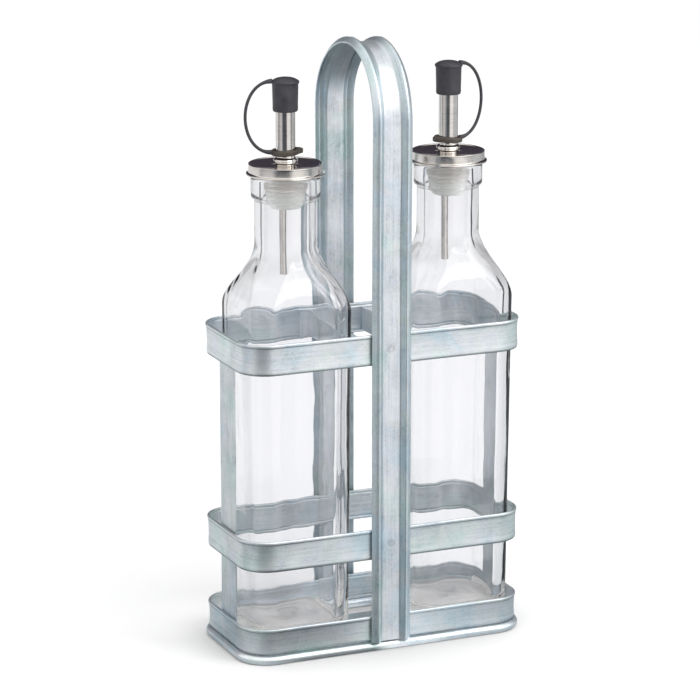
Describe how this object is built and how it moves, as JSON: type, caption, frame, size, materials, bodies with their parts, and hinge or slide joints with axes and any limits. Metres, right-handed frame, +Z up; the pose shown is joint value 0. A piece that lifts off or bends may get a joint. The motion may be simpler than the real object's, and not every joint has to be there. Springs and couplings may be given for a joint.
{
  "type": "cruet set",
  "caption": "Oil and vinegar cruet set: square clear-glass bottles with capped stainless pourers in a galvanised steel strap carrier with an arched handle.",
  "frame": {"origin": "middle of the carrier's foot, on the surface the set stands on", "axes": "+Z up, +X along the carrier towards the right-hand bottle, +Y away from the viewer across the carrier"},
  "size_m": [0.153, 0.076, 0.3035],
  "materials": {
    "galvanised_steel": "galvanised sheet, satin, blue-grey with faint streaks and bright hemmed edges",
    "clear_glass": "clear, thick and slightly wavy",
    "stainless_steel": "polished stainless steel",
    "stopper_plastic": "translucent grey-white soft plastic",
    "black_rubber": "satin black rubber"
  },
  "bodies": {
    "carrier": {"handle_strap": "galvanised_steel", "top_band": "galvanised_steel", "middle_band": "galvanised_steel", "bottom_band": "galvanised_steel", "base_rim": "galvanised_steel", "cradle_strap": "galvanised_steel", "left_divider": "galvanised_steel", "right_divider": "galvanised_steel"},
    "left_bottle": {"left_bottle": "clear_glass"},
    "left_pourer": {"left_stopper": "stopper_plastic", "left_pourer_crown": "stainless_steel", "left_spout_tube": "stainless_steel", "left_breather_tube": "stainless_steel"},
    "left_ring": {"left_tether_ring": "black_rubber", "left_tether": "black_rubber"},
    "left_cap": {"left_spout_cap": "black_rubber"},
    "right_bottle": {"right_bottle": "clear_glass"},
    "right_pourer": {"right_stopper": "stopper_plastic", "right_pourer_crown": "stainless_steel", "right_spout_tube": "stainless_steel", "right_breather_tube": "stainless_steel"},
    "right_ring": {"right_tether_ring": "black_rubber", "right_tether": "black_rubber"},
    "right_cap": {"right_spout_cap": "black_rubber"}
  },
  "joints": [
    {"name": "left_bottle_lift", "type": "slide", "parent": "carrier", "child": "left_bottle", "axis": [0, 0, 1], "range_m": [0, 0.17]},
    {"name": "left_pourer_pull", "type": "slide", "parent": "left_bottle", "child": "left_pourer", "axis": [0, 0, 1], "range_m": [0, 0.055]},
    {"name": "left_cap_swivel", "type": "hinge", "parent": "left_pourer", "child": "left_ring", "pos_m": [-0.041, 0, 0.25], "axis": [0, 0, 1], "continuous": true},
    {"name": "left_cap_lift", "type": "slide", "parent": "left_ring", "child": "left_cap", "axis": [0, 0, 1], "range_m": [0, 0.0155], "deforming": ["left_tether"]},
    {"name": "right_bottle_lift", "type": "slide", "parent": "carrier", "child": "right_bottle", "axis": [0, 0, 1], "range_m": [0, 0.17]},
    {"name": "right_pourer_pull", "type": "slide", "parent": "right_bottle", "child": "right_pourer", "axis": [0, 0, 1], "range_m": [0, 0.055]},
    {"name": "right_cap_swivel", "type": "hinge", "parent": "right_pourer", "child": "right_ring", "pos_m": [0.0462, 0, 0.25], "axis": [0, 0, 1], "continuous": true},
    {"name": "right_cap_lift", "type": "slide", "parent": "right_ring", "child": "right_cap", "axis": [0, 0, 1], "range_m": [0, 0.0129], "deforming": ["right_tether"]}
  ]
}
